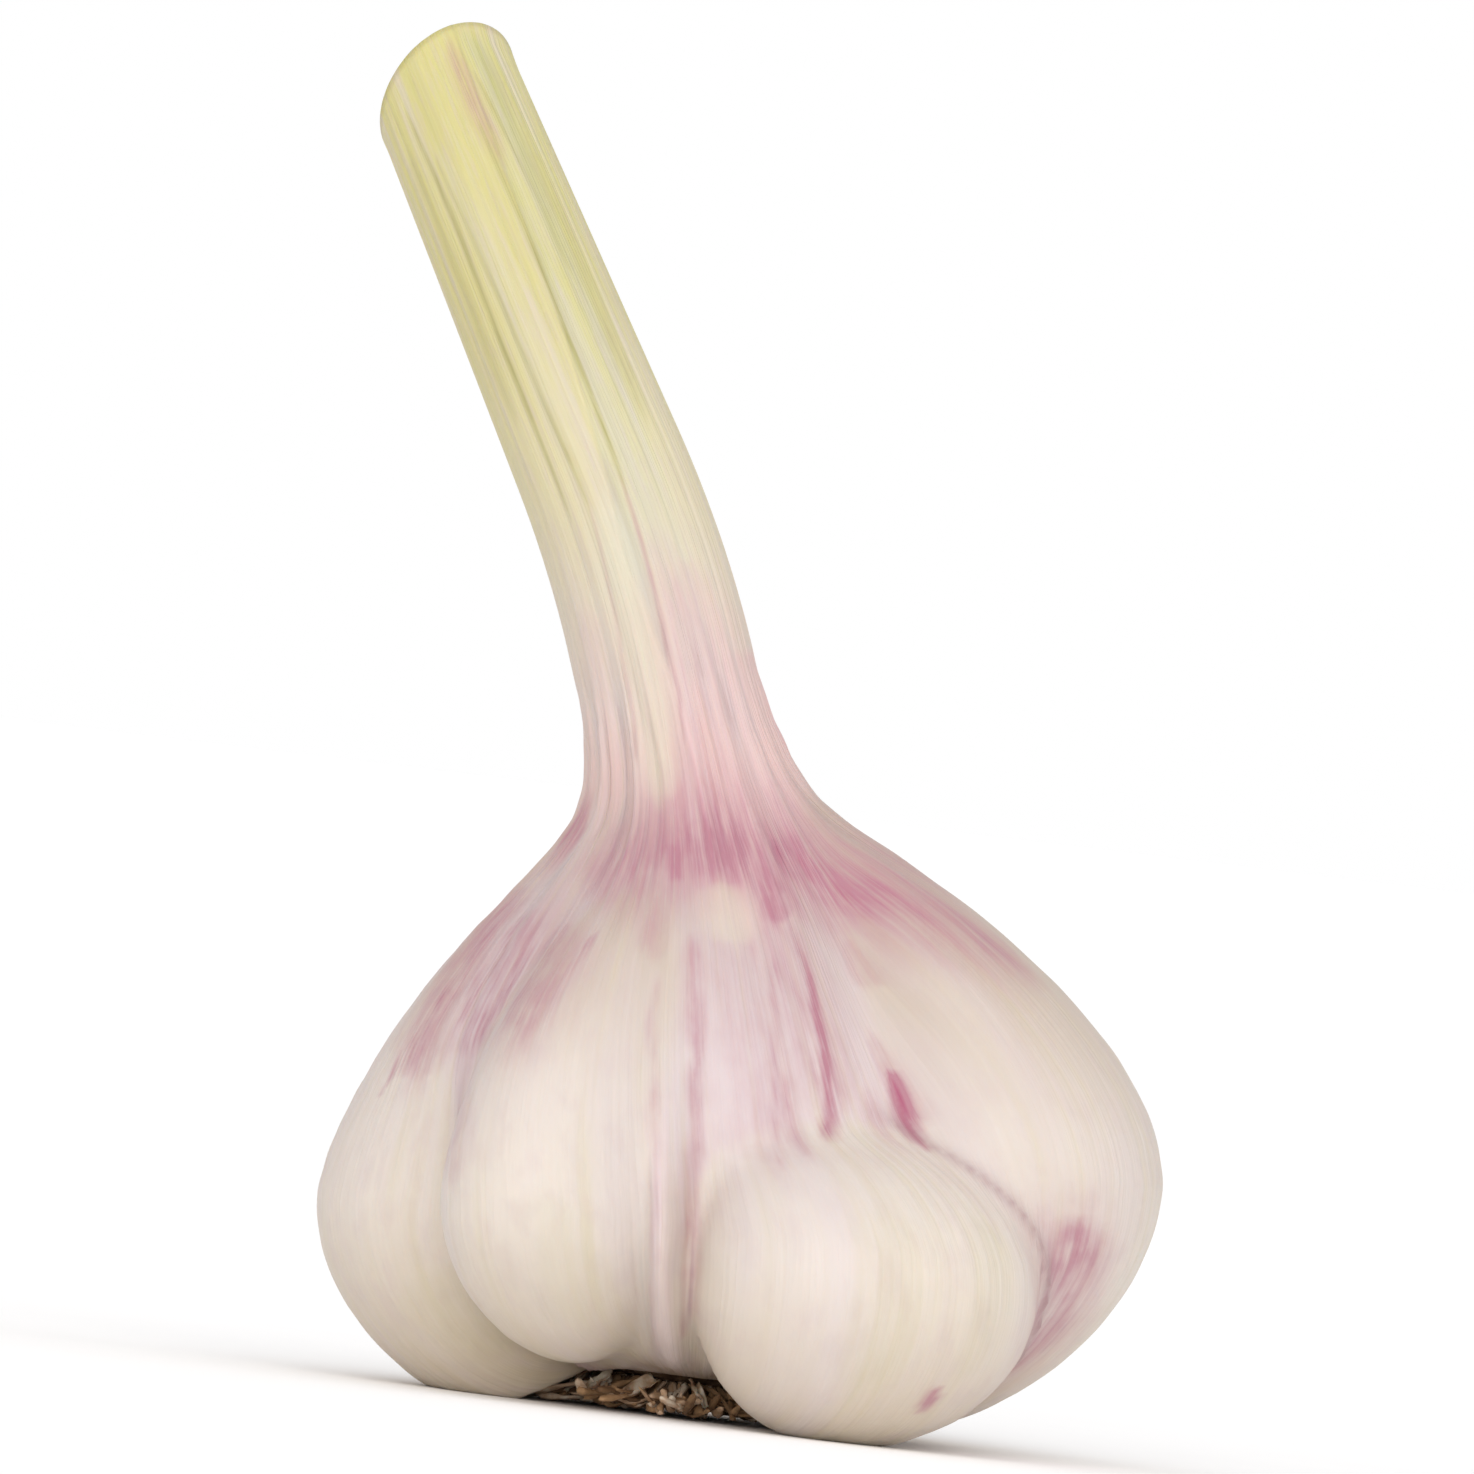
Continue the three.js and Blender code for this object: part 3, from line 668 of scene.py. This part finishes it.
STAINS_AND_HIGHLIGHT = {
    "purple": [
        # the dark band round the foot of the neck
        tint_mark(2.2, 0.6, (-168, 38.5), (-152, 38.8)),
        tint_mark(3.2, 0.64, (-132, 36), (-102, 36.4), (-86, 38), (-66, 38), (-50, 37)),
        tint_mark(3.2, 0.7, (-66, 37.5), (-50, 37), (-36, 36.8), (-22, 34.6), (-12, 31)),
        tint_mark(1.7, 0.75, (-96, 38), (-93, 35)),
        tint_mark(2.6, 0.9, (-90, 37.6), (-74, 37.8), (-60, 37)),
        tint_mark(2.0, 0.85, (-64, 36.5), (-53, 34.5)),
        tint_mark(2.3, 1.0, (-50, 38.2), (-38, 36.6), (-25, 34)),
        tint_mark(2.0, 0.3, (-13, 37), (-24, 32.5)),
        tint_mark(2.2, 0.35, (-34, 39.5), (-2, 36.5)),
        tint_mark(1.2, 0.5, (-14, 34.5), (-15, 30.5)),
        # lines and marks down the taut skin at the front
        tint_mark(1.7, 0.95, (-60, 34.6), (-56, 32.8)),
        tint_mark(0.75, 0.8, (-56, 33), (-55, 29.5), (-56.5, 26.5), (-58, 22.5), (-60, 19.5), (-63, 18.2)),
        tint_mark(0.8, 0.45, (-64, 31), (-67, 27.5), (-68, 25), (-74, 16)),
        tint_mark(1.0, 0.45, (-67, 25), (-69, 17)),
        tint_mark(4.2, 0.24, (-74, 33), (-74, 25), (-76, 16)),
        tint_mark(3.0, 0.4, (-59, 34), (-59, 27), (-58, 20)),
        tint_mark(1.0, 0.45, (-87.5, 31.5), (-87.5, 23)),
        tint_mark(0.6, 0.5, (-87.5, 25), (-89, 17.5), (-90, 11), (-90.5, 1)),
        tint_mark(0.9, 0.45, (-98.5, 35), (-97.5, 29.5)),
        tint_mark(0.45, 0.25, (-97, 28), (-96, 20), (-97, 8)),
        tint_mark(1.0, 0.4, (-37, 32), (-38, 29)),
        tint_mark(1.5, 0.3, (-53, 20.4), (-47, 20)),
        tint_mark(0.6, 1.32, (-42, 23.6), (-44.5, 18.2)),
        tint_mark(0.9, 0.45, (-43.5, 25.8), (-41.5, 20)),
        # the left shoulder
        tint_mark(4.0, 0.55, (-168, 34), (-161, 27), (-158, 19)),
        tint_mark(4.4, 0.52, (-146, 32.5), (-142, 27), (-142, 21)),
        tint_mark(3.6, 0.52, (-128, 31.5), (-122, 26.5), (-126, 23.5)),
        tint_mark(2.4, 0.25, (-134, 22), (-130, 17), (-127, 12)),
        tint_mark(0.8, 0.75, (-164, 33.2), (-161, 29)),
        tint_mark(0.4, 0.7, (-160, 29.5), (-161, 25), (-164, 21), (-166, 17.5)),
        tint_mark(0.35, 0.65, (-150, 31), (-148, 27.5), (-150, 23)),
        tint_mark(0.5, 0.65, (-136, 31), (-136, 27), (-140, 22)),
        tint_mark(0.5, 0.65, (-126, 30.5), (-121, 26), (-122, 23.5)),
        tint_mark(0.6, 0.5, (-113, 31), (-116, 26.5)),
        # low on the two cloves at the right
        tint_mark(4.8, 0.58, (-25, 15), (-27, 8), (-23, 3)),
        tint_mark(1.6, 0.4, (-27, 13), (-28, 9)),
        tint_mark(3.2, 0.18, (-17, 10), (-19, 3)),
        tint_mark(0.9, 0.75, (-52, 4), (-54, 2.4)),
        # up the neck: fine lines, and a streak down from the cut
        tint_mark(0.22, 0.5, (-75, 63), (-79, 54), (-80, 45)),
        tint_mark(0.22, 0.4, (-102, 62), (-110, 52), (-112, 44)),
        tint_mark(0.9, 0.34, (-68, 93.5), (-68, 89), (-64, 85)),
    ],
    "rose": [
        tint_mark(5.5, 0.45, (-68, 32), (-69, 43), (-67, 57)),
        tint_mark(3.4, 0.3, (-40, 38), (-48, 46), (-54, 54)),
        tint_mark(1.8, 0.16, (-134, 40), (-134, 46), (-130, 56)),
    ],
    "green": [
        tint_mark(0.26, 0.75, (-121, 92), (-117, 84), (-119, 75), (-119, 62)),
        tint_mark(0.24, 0.65, (-112, 88), (-107, 78), (-105, 70), (-102, 62)),
        tint_mark(0.26, 0.85, (-71, 88), (-70, 78), (-71, 70), (-75, 62)),
        tint_mark(0.24, 0.5, (-58, 91), (-50, 84), (-48, 76)),
        tint_mark(1.0, 0.4, (-40, 93), (-38, 66)),
        tint_mark(0.8, 0.3, (-134, 90), (-132, 70)),
        # a straw cast low on the cloves
        tint_mark(3.0, 0.13, (-62, 14), (-64, 3)),
        tint_mark(2.4, 0.13, (-46, 14), (-50, 5)),
        tint_mark(4.5, 0.14, (-152, 5), (-142, -3)),
        tint_mark(3.0, 0.1, (-112, 12), (-112, 3)),
    ],
    "pale": [
        # the first is a painted highlight on the fold beside the sheath's edge, at the foot of the neck; the
        # others are paler streaks
        tint_mark(2.0, 0.65, (-92, 62), (-98, 52), (-101, 41)),
        tint_mark(1.0, 0.3, (-106, 88), (-98, 66)),
        tint_mark(2.0, 0.45, (-77, 35.2), (-75, 31)),
    ],
}
BACK_START = -2  # the back, in degrees round the bulb
BACK_SPAN = 188
HIDDEN_STAINS = (  # those of the back: the tint, how many, their widths, strengths and lengths, and where
    ("purple", 12, (1.2, 2.4), (0.4, 0.8), (1, 3), (34, 39)),
    ("purple", 22, (0.4, 1.0), (0.3, 0.7), (4, 13), (17, 31)),
    ("purple", 4, (2.0, 3.4), (0.25, 0.45), (3, 6), (8, 26)),
    ("rose", 4, (1.5, 2.5), (0.3, 0.5), (3, 6), (41, 47)),
    ("green", 7, (0.3, 0.5), (0.5, 0.8), (10, 22), (62, 90)),
)


def all_tint_marks(name):
    """The marks of one tint: those of the front, among them the pale tint's painted highlight, and scattered
    stains at the back.
    """
    found = list(STAINS_AND_HIGHLIGHT[name])
    rng = np.random.default_rng(11)
    for tint, count, widths, strengths, lengths, reach in HIDDEN_STAINS:
        for i in range(count):
            angle = BACK_START + BACK_SPAN * (i + rng.uniform(0.1, 0.9)) / count
            middle = rng.uniform(*reach)
            half = rng.uniform(*lengths) / 2
            turn = rng.uniform(-3, 3)
            mark = tint_mark(rng.uniform(*widths), rng.uniform(*strengths),
                         (angle - turn, middle - half), (angle, middle), (angle + turn / 2, middle + half))
            if tint == name:
                found.append(mark)
    return found


DRAWN_OUT = 0.7  # a millimetre along the fibres counts for this much across them


def tint_strength(name, angle, along, radius):
    """How strong one tint is at places on the skin, which lie at a radius from the bulb's axis. A mark
    wavers a little, and is narrower and fainter towards both ends of its route."""
    total = np.zeros_like(angle)
    scale = np.radians(radius)
    wobble = 0.5 - 0.42 * smooth(along, NECK_BASE, NECK_BASE + 12)
    place = np.degrees(angle) + wobble * streaks(angle, along, 50, 0.3, 70) / scale
    for mark in all_tint_marks(name):
        legs = list(zip(mark["route"], mark["route"][1:]))
        for i, (start, end) in enumerate(legs):
            across = ((place - start[0] + 180) % 360 - 180) * scale
            onwards = along - start[1]
            leg = (end[0] - start[0]) * scale, end[1] - start[1]
            share = np.clip((across * leg[0] + onwards * leg[1]) / (leg[0] ** 2 + leg[1] ** 2 + 1e-6), 0, 1)
            done = (i + share) / len(legs)
            middle = 2 * np.sqrt(done * (1 - done))
            width = mark["width"] * (0.3 + 0.8 * middle)
            far = np.hypot(across - share * leg[0], (onwards - share * leg[1]) * DRAWN_OUT) / width
            strength = mark["strength"] * (0.4 + 0.6 * np.minimum(1.5 * middle, 1))
            total = np.maximum(total, strength * (1 - smooth(far, 0, 1.5)))
    return total * (1 + 0.3 * streaks(angle, along, 130, 0.12, 71))


FREE_GAP = (0.3, 2.2)  # how far off the cloves the skin starts to hang free, and does so fully
CREASE_GAP = (1.2, 3.2)  # and how far off them a crease starts to open out, and is gone
CREASE_WIDTH = 0.7
CREASE_DEPTH = 0.9  # how much further the skin is drawn in, right between two cloves
CREASE_HEIGHTS = (12, 24)  # from the full depth to none
RIM_FADE = 3  # over how much skin next to the root plate the relief sets in
CUT_FADE = (93, CUT_AT + 0.3)  # and where it ends at the cut
RESTING = 0.01  # below this height the skin lies flat on the table


def outer_skin(material):
    """The skin round the cloves and up the neck: one closed sheet with its folds, veins and stains, a
    painted highlight on one fold, and painted shade in its creases.
    """
    rows = skin_rows()
    bm = lathed(len(rows), SKIN_TURNS, closed=True)
    angle, row = drum_places(bm)
    zone, share, depth = rows[row].T
    points = np.empty((len(angle), 3))
    for index, place in enumerate(ZONES):
        here = zone == index
        points[here] = place(angle[here], share[here], depth[here])
    put(bm, points)
    bmesh.ops.recalc_face_normals(bm, faces=bm.faces[:])
    bm.normal_update()

    along = distance_at(zone.astype(int), share)
    nearest, next_one = np.sort([clove_distance(clove, points) for clove in CLOVES.values()], axis=0)[:2]
    free = smooth(nearest, *FREE_GAP)
    # how far into a crease between two cloves: the skin is drawn in there, and darkened as painted shade
    crease_and_painted_shade = np.exp(-(next_one - nearest) / CREASE_WIDTH) * (1 - smooth(nearest, *CREASE_GAP))
    relief = neck_relief(angle, along) + shoulder_relief(angle, along, free)
    relief -= CREASE_DEPTH * crease_and_painted_shade * (1 - smooth(points[:, 2], *CREASE_HEIGHTS))
    relief *= (depth == 0) * smooth(along, -BELLY_AT, -BELLY_AT + RIM_FADE) * (1 - smooth(along, *CUT_FADE))
    raised = points + column(relief) * normals_of(bm)
    raised[:, 2] = np.where(points[:, 2] < RESTING, points[:, 2], np.maximum(raised[:, 2], 0))
    put(bm, raised)

    store(bm, "fibre", fibre_places(angle, along, BELLY_RADIUS))
    store(bm, "pressed", 1 - free)
    store(bm, "crease_and_painted_shade", crease_and_painted_shade)
    radius = np.hypot(*(points - axis_at(points[:, 2]))[:, :2].T)
    radius = np.where(zone == NECK, neck_radius(along), radius)
    for name in STAINS_AND_HIGHLIGHT:
        store(bm, name, tint_strength(name, angle, along, radius))
    return finish_piece("papery_skin", bm, material, "skin", "outer_skin")


# ---- the cloves and the stalk ----
CLOVE_INSET = SKIN_WALL + 0.6  # of a clove in its bulge of skin
CLEARANCE = 0.35  # between a clove and its neighbours
CLOVE_ROWS = 48
CLOVE_TURNS = 72
SQUARENESS = 8  # how close the flats on a clove come to meeting in sharp edges
OVER_PLATE = PLATE_TOP + 3  # the height above which the cloves close in on the stalk
BESIDE_PLATE = RIM_HEIGHT + 2  # and below which they follow the dimple outwards
PLATE_ROOM = 7
LEAST_ROOM = 0.4
LEAST_WIDTH = 0.3


def core_radius(height):
    """How far out from the bulb's axis the cloves start."""
    under = RIM_RADIUS + (BESIDE_PLATE - height) / DIMPLE_SLOPE
    return np.where(height > OVER_PLATE, STALK_RADIUS, np.where(height > BESIDE_PLATE, PLATE_ROOM, under))


def wall_share(direction, normal, room):
    """How much of the room before a flat wall one millimetre in each direction takes up."""
    return np.maximum(direction @ normal, 0) / np.maximum(room, LEAST_ROOM)


def clove(name, material):
    """An egg with a point, flattened against its two neighbours and against the stalk."""
    names = list(CLOVES)
    own = CLOVES[name]
    out = outwards(own)
    egg = dict(own, top=own["top"] - 2 * CLOVE_INSET, foot=own["foot"] + CLOVE_INSET,
               deep=own["deep"] - CLOVE_INSET, wide=own["wide"] - CLOVE_INSET)
    bottom = max(egg["foot"], CLOVE_INSET)
    bm = lathed(CLOVE_ROWS + 1, CLOVE_TURNS)
    angle, row = drum_places(bm)
    height = bottom + (egg["top"] - bottom) * (1 - np.cos(math.pi * row / CLOVE_ROWS)) / 2
    share, lean, power = clove_level(egg, height)
    width = np.maximum(1 - np.minimum(share, 1) ** power, 0) ** (1 / power)
    centre = np.array((own["x"], own["y"])) - column(lean) * out
    from_axis = centre - axis_at(height)[:, :2]
    direction = np.stack((np.cos(angle), np.sin(angle)), 1)
    deep = direction @ out / np.maximum(egg["deep"] * width, LEAST_WIDTH)
    wide = direction[:, 0] * out[1] - direction[:, 1] * out[0]
    wide = wide / np.maximum(egg["wide"] * width, LEAST_WIDTH)
    limits = np.hypot(deep, wide) ** SQUARENESS
    limits += wall_share(direction, -out, from_axis @ out - core_radius(height) - CLEARANCE) ** SQUARENESS
    for side in (-1, 1):
        neighbour = outwards(CLOVES[names[(names.index(name) + side) % len(names)]])
        between = unit(out + neighbour)
        normal = np.array((-between[1], between[0])) * side
        limits += wall_share(direction, normal, -(from_axis @ normal) - CLEARANCE / 2) ** SQUARENESS
    radius = np.where((row == 0) | (row == CLOVE_ROWS), 0, limits ** (-1 / SQUARENESS))
    put(bm, np.column_stack((centre + direction * column(radius), height)))
    store(bm, "fibre", fibre_places(angle, height, own["deep"]))
    face_outwards(bm)
    return finish_piece(f"{name}_flesh", bm, material, "clove", name)


STALK_ROWS = 70
FACE_ROWS = 36  # across the cut
STALK_TURNS = 96
STALK_GAP = 0.15  # between the stalk and the skin of the neck
STALK_SWELLS = 39  # from here up to the shoulder's end it widens, until it fills the neck
SHEATHS = 5  # leaf sheaths that show as rings in the cut
FACE_PATTERN = 12  # how much of the fibres' pattern crosses the cut


def stalk(material):
    """Thin between the cloves, filling the neck above, and cut across in rings of sheaths."""
    bm = lathed(STALK_ROWS + FACE_ROWS + 2, STALK_TURNS)
    angle, row = drum_places(bm)
    start = (PLATE_TOP + CLEARANCE - FOOT[2]) / math.cos(LEAN_LOW)
    share = np.clip((row - 1) / STALK_ROWS, 0, 1)
    distance = start + (CUT_AT - start) * share
    inner = neck_radius(distance) - SKIN_WALL - STALK_GAP
    radius = STALK_RADIUS + (inner - STALK_RADIUS) * smooth(distance, STALK_SWELLS, SHOULDER_END)
    radius = radius + 0.1 * streaks(angle, distance, 26, 0.02, 40) * (share < 1)
    across = 1 - np.clip((row - 1 - STALK_ROWS) / FACE_ROWS, 0, 1)
    ring = (across * SHEATHS + 0.12 * streaks(angle, 0 * angle, 6, 1, 50) * (across < 0.98)) % 1
    on_face = row > STALK_ROWS + 1
    radius = np.where(row == 0, 0, radius * across)
    rise = cut_rise(angle, radius) * share**3 + on_face * (0.3 * ring**3 - 0.35 + 0.3 * across)
    put(bm, ring_point(distance + rise, angle, radius))
    store(bm, "fibre", fibre_places(angle, distance + FACE_PATTERN * across, NECK_RADIUS))
    store(bm, "ring", np.where(on_face, ring**4, 0.2))
    face_outwards(bm)
    return finish_piece("stalk_core", bm, material, "stalk", "stalk")


# ---- the root end ----
PLATE_ROWS = 36
PLATE_TURNS = 96


def root_plate(material):
    """A low corky cushion, ringed where old sheaths were set on it."""
    low, high = (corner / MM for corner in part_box("root_plate"))
    radius = (high.x - low.x) / 2
    bm = lathed(PLATE_ROWS + 1, PLATE_TURNS)
    angle, row = drum_places(bm)
    turn = math.pi * row / PLATE_ROWS
    reach = radius * np.sin(turn) ** 0.6
    height = (low.z + high.z) / 2 - (high.z - low.z) / 2 * np.cos(turn)
    lumps = streaks(angle, height, 34, 0.5, 60) * 0.16 + 0.12 * np.sin(7 * reach)
    reach = reach * (0.97 + 0.02 * streaks(angle, height, 20, 0.3, 61))
    height = height + lumps * np.sin(turn)
    points = np.stack((FOOT[0] + np.cos(angle) * reach, FOOT[1] + np.sin(angle) * reach, height), 1)
    put(bm, points)
    face_outwards(bm)
    return finish_piece("root_disc", bm, material, "plate", "root_plate")


def join(bm, other):
    """Adds another bmesh's geometry to bm."""
    mesh = bpy.data.meshes.new("joined")
    other.to_mesh(mesh)
    other.free()
    bm.from_mesh(mesh)
    bpy.data.meshes.remove(mesh)


STRAND_ROWS = 12
STRAND_SIDES = 6
STRAND_FLATNESS = 0.7


def root_strand(points, radius, seed):
    """One dried root: a shrivelled, flattened strand along a smooth curve through a few points."""
    bm = lathed(STRAND_ROWS + 1, STRAND_SIDES)
    angle, row = drum_places(bm)
    share = np.clip((row - 0.5) / (STRAND_ROWS - 1), 0, 1) * (len(points) - 1)
    leg = np.minimum(share.astype(int), len(points) - 2)
    share = column(share - leg)
    ends = np.concatenate((2 * points[:1] - points[1:2], points, 2 * points[-1:] - points[-2:-1]))
    before, start, end, after = (ends[leg + i] for i in range(4))
    slope_in = (end - before) / 2
    slope_out = (after - start) / 2
    path = start + share * slope_in + share**2 * (3 * (end - start) - 2 * slope_in - slope_out)
    path += share**3 * (2 * (start - end) + slope_in + slope_out)
    along = unit(end - start)
    side = unit(np.cross(along, (0.3, 0.2, 1.0)))
    other = np.cross(along, side)
    shrivelled = 1 + 0.35 * np.sin(1.7 * row + seed) + 0.15 * np.cos(3 * angle + seed)
    thick = radius * shrivelled * (row > 0) * (row < STRAND_ROWS)
    flat = thick * STRAND_FLATNESS
    put(bm, path + column(np.cos(angle) * thick) * side + column(np.sin(angle) * flat) * other)
    store(bm, "tone", np.full(len(angle), (math.sin(37 * seed) + 1) / 2))
    face_outwards(bm)
    return bm


STRANDS_PER_ROOT = 15
STRAND_RADII = (0.13, 0.34)
STRAND_REACH = (2, 8)
STRAND_BENDS = ((0.25, 0.9, 2.2), (0.6, 0.3, 1.6), (1, 0.3, 2.2))  # share of the reach, lowest, highest
MAT_REACH = 14  # how far from the middle of the plate the strands lie
OFF_SKIN = 0.25
OFF_TABLE = 0.08


def strand_route(centre, top, rng):
    """A route from under the plate that sinks, and then lies outwards or round, clear of the skin."""
    out = unit(np.append((centre - FOOT)[:2], 0))
    round_about = np.cross(UP, out) * rng.choice((-1, 1))
    for shrink in np.linspace(1, 0, 12):
        start = np.append((centre + rng.normal(0, 0.7, 3))[:2], top)
        reach = rng.uniform(*STRAND_REACH) * shrink
        turn = rng.uniform(-0.6, 1.4)
        way = out * math.cos(turn) + round_about * math.sin(turn)
        points = [start]
        heights = [rng.uniform(lowest, highest) for _, lowest, highest in STRAND_BENDS]
        for (step, _, _), height in zip(STRAND_BENDS, heights):
            point = start + way * reach * step + rng.normal(0, 0.35, 3)
            point[2] = height
            points.append(point)
        points = np.array(points)
        far = np.hypot(*(points - FOOT)[:, :2].T)
        if far.max() < MAT_REACH and bulb_distance(points).min() > OFF_SKIN:
            break
    return points


def root_clump(node, index, material):
    """The dry, bent strands that one root and its side roots leave under the plate."""
    rng = np.random.default_rng(index)
    low, high = (np.array(corner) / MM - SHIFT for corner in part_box(node))
    centre = (low + high) / 2
    bm = bmesh.new()
    for _ in range(STRANDS_PER_ROOT):
        route = strand_route(centre, high[2] + 0.6, rng)
        join(bm, root_strand(route, rng.uniform(*STRAND_RADII), rng.uniform(0, 6)))
    for vert in bm.verts:
        vert.co.z = max(vert.co.z, OFF_TABLE)
    return finish_piece(f"{node}_strands", bm, material, "root", node)


SCRAPS = 13
SCRAP_WALL = 0.09


def torn_ends(material):
    """Scraps of dry skin left hanging round the root plate where the skin was trimmed."""
    rng = np.random.default_rng(5)
    bm = bmesh.new()
    for i in range(SCRAPS):
        scrap = bmesh.new()
        bmesh.ops.create_grid(scrap, x_segments=8, y_segments=8, size=1)
        co = points_of(scrap)
        wide, long = rng.uniform(0.35, 0.9), rng.uniform(0.4, 0.9)
        turn = 2 * math.pi * (i + rng.uniform(-0.4, 0.4)) / SCRAPS
        ragged = 1 + 0.35 * noise_at(co * 2.3 + i * 5.0)
        narrowed = 1 - 0.6 * smooth(co[:, 1], -0.4, 1.2)
        across = co[:, 0] * wide * ragged * narrowed + 0.5 * co[:, 1] * rng.uniform(-1, 1)
        out = RIM_RADIUS - 0.2 + (1 + co[:, 1]) * rng.uniform(0.1, 0.9) + 0.4 * co[:, 0] ** 2
        out = out + 0.35 * noise_at(co * 1.7 + i * 9.0)
        height = RIM_HEIGHT - 0.5 - (1 + co[:, 1]) * long * ragged + 0.25 * np.sin(3 * co[:, 0] + i)
        angle = turn + across / RIM_RADIUS
        put(scrap, np.stack((FOOT[0] + np.cos(angle) * out, FOOT[1] + np.sin(angle) * out,
                             np.maximum(height, 0.2)), 1))
        join(bm, scrap)
    piece = finish_piece("torn_skin_ends", bm, material, "skin", "outer_skin")
    wall = piece.modifiers.new("wall", "SOLIDIFY")
    wall.thickness = SCRAP_WALL * MM
    return piece


# ---- the studio ----
FLOOR_REACH = 6  # metres to each side
ROLL = math.radians(6.82)  # the camera is rolled, so the table is seen sloping down to the right
ELEVATION = math.radians(0.3)
CAMERA_FAR = 2.4  # metres
FRAME_HEIGHT = 0.1049  # what the frame spans at the bulb's axis, in metres
SENSOR = 36
AIM = np.array((-3.13, 0, 48.5))  # the middle of the frame, in the design's millimetres
SKY = 0.76  # the light that comes from all round
LAMPS = (  # where each soft box hangs, its strength, and how many degrees of the sky it fills
    ("key", (-0.12, -0.9, 0.6), 1.22, 60),
    ("fill", (0.9, -0.8, 0.35), 0.62, 80),
    ("low", (-0.1, -1, 0.02), 0.55, 30),
)


def studio(floor_material):
    """A pale card to stand on, an even white sky and three soft lamps in front."""
    floor = bpy.data.meshes.new("floor")
    bm = bmesh.new()
    bmesh.ops.create_grid(bm, x_segments=1, y_segments=1, size=FLOOR_REACH)
    bm.to_mesh(floor)
    bm.free()
    floor.materials.append(floor_material)
    card = bpy.data.objects.new("floor", floor)
    bpy.context.scene.collection.objects.link(card)

    scene = bpy.context.scene
    scene.view_settings.view_transform = "Standard"
    scene.world = bpy.data.worlds.new("studio")
    scene.world.use_nodes = True
    tree = scene.world.node_tree
    light = tree.nodes["Background"]
    light.inputs["Strength"].default_value = SKY
    seen = add(tree, "Background", {"Strength": 1})
    for background in (light, seen):
        background.inputs["Color"].default_value = (1, 1, 1, 1)
    path = add(tree, "LightPath")
    both = add(tree, "MixShader", {0: path.outputs["Is Camera Ray"], 1: light, 2: seen})
    tree.links.new(both.outputs[0], tree.nodes["World Output"].inputs["Surface"])

    for name, direction, strength, spread in LAMPS:
        lamp = bpy.data.lights.new(name, "SUN")
        lamp.energy = strength
        lamp.angle = math.radians(spread)
        stand = bpy.data.objects.new(name, lamp)
        stand.rotation_euler = Vector(direction).to_track_quat("Z", "Y").to_euler()
        scene.collection.objects.link(stand)


def camera():
    """A long lens, nearly level, from straight in front."""
    data = bpy.data.cameras.new("camera")
    data.sensor_width = SENSOR
    data.lens = data.sensor_width * CAMERA_FAR / FRAME_HEIGHT
    data.clip_start = 0.1
    data.clip_end = 20
    eye = bpy.data.objects.new("camera", data)
    aim = Vector((AIM + SHIFT) * MM)
    back = Vector((0, -math.cos(ELEVATION), math.sin(ELEVATION)))
    eye.rotation_mode = "QUATERNION"
    eye.location = aim + back * CAMERA_FAR
    turn = (-back).to_track_quat("-Z", "Y").to_matrix() @ Matrix.Rotation(ROLL, 3, "Z")
    eye.rotation_quaternion = turn.to_quaternion()
    bpy.context.scene.collection.objects.link(eye)
    bpy.context.scene.camera = eye


camera()
studio(pale_floor())
outer_skin(papery_skin())
clove_finish = clove_skin()
for clove_name in CLOVES:
    clove(clove_name, clove_finish)
stalk(cut_stalk())
root_plate(corky_plate())
root_finish = dried_root()
root_nodes = sorted(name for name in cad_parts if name.startswith("root_") and name != "root_plate")
for root_index, root_node in enumerate(root_nodes):
    root_clump(root_node, root_index, root_finish)
torn_ends(dry_flake())
